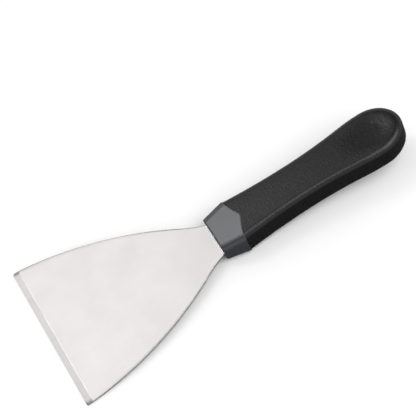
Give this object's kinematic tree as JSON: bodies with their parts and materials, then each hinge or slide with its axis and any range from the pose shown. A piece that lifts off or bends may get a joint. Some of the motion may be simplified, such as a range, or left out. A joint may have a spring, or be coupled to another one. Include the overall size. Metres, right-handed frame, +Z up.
{
  "type": "hand scraper",
  "caption": "Hand scraper with a flared, ground steel blade set in a smooth bolster, and a textured black grip with a rounded butt.",
  "frame": {"origin": "under the middle of the whole tool's box, on the surface that it lies on", "axes": "+X from the cutting edge to the butt, +Z up out of the bevelled face of the blade; the tool lies on its cutting edge and the heel of its bolster, so the blade slopes up at 3.6 degrees and the handle at 7.2"},
  "size_m": [0.2452, 0.1014, 0.0326],
  "materials": {
    "blade_steel": "satin",
    "core_plastic": "satin",
    "grip_rubber": "matte"
  },
  "bodies": {
    "root": {"blade": "blade_steel", "handle_core": "core_plastic", "grip": "grip_rubber"}
  },
  "joints": []
}
